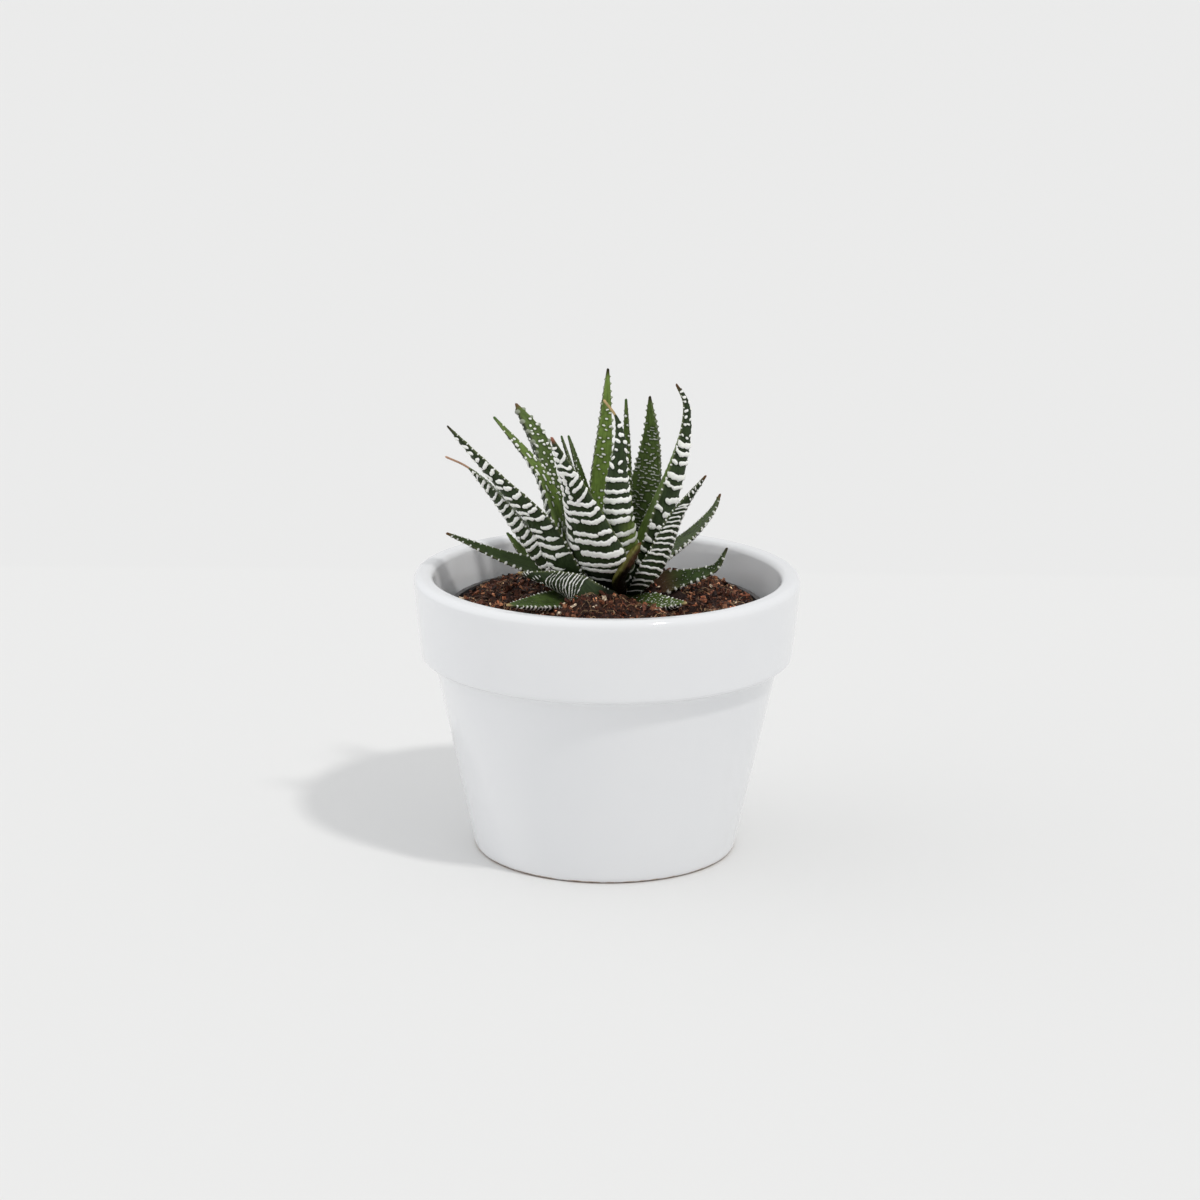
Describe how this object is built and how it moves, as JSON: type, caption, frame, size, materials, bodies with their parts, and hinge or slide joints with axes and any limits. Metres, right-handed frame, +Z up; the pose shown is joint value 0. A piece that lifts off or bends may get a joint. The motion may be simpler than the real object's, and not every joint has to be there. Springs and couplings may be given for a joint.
{
  "type": "potted haworthia",
  "caption": "Zebra haworthia, a rosette of pointed green leaves with raised white bands, in soil in a white glazed flowerpot with a deep collar.",
  "frame": {"origin": "where the flowerpot's axis meets the surface that it stands on", "axes": "+Z up along the flowerpot's axis; -Y towards the viewer of the picture, +X to the viewer's right"},
  "size_m": [0.11, 0.11, 0.137],
  "materials": {
    "glaze": "gloss",
    "nursery_plastic": "satin",
    "soil": "matte",
    "root": "matte",
    "leaf": "satin",
    "withered_leaf": "matte"
  },
  "bodies": {
    "root": {"flowerpot": "glaze", "grow_pot": "nursery_plastic", "soil": "soil", "stem_and_roots": "root", "leaf_tallest": "leaf", "leaf_young_right": "leaf", "leaf_young_left": "leaf", "leaf_young_front": "leaf", "leaf_front_upright": "leaf", "leaf_back_right": "leaf", "leaf_right_tall": "leaf", "leaf_back_left": "leaf", "leaf_left_inner": "leaf", "leaf_back_upright": "leaf", "leaf_front_large": "leaf", "leaf_left_long": "leaf", "leaf_right_front": "leaf", "leaf_right_back": "leaf", "leaf_left_dry_tip": "leaf", "leaf_back_left_spread": "leaf", "leaf_back_right_spread": "leaf", "leaf_withered": "withered_leaf", "leaf_low_left": "leaf", "leaf_low_left_hooked": "leaf", "leaf_low_right": "leaf", "leaf_low_front_left": "leaf", "leaf_low_back": "leaf", "leaf_low_back_left": "leaf", "leaf_low_back_right": "leaf", "leaf_low_front_right": "leaf", "leaf_low_front_under": "leaf"}
  },
  "joints": []
}
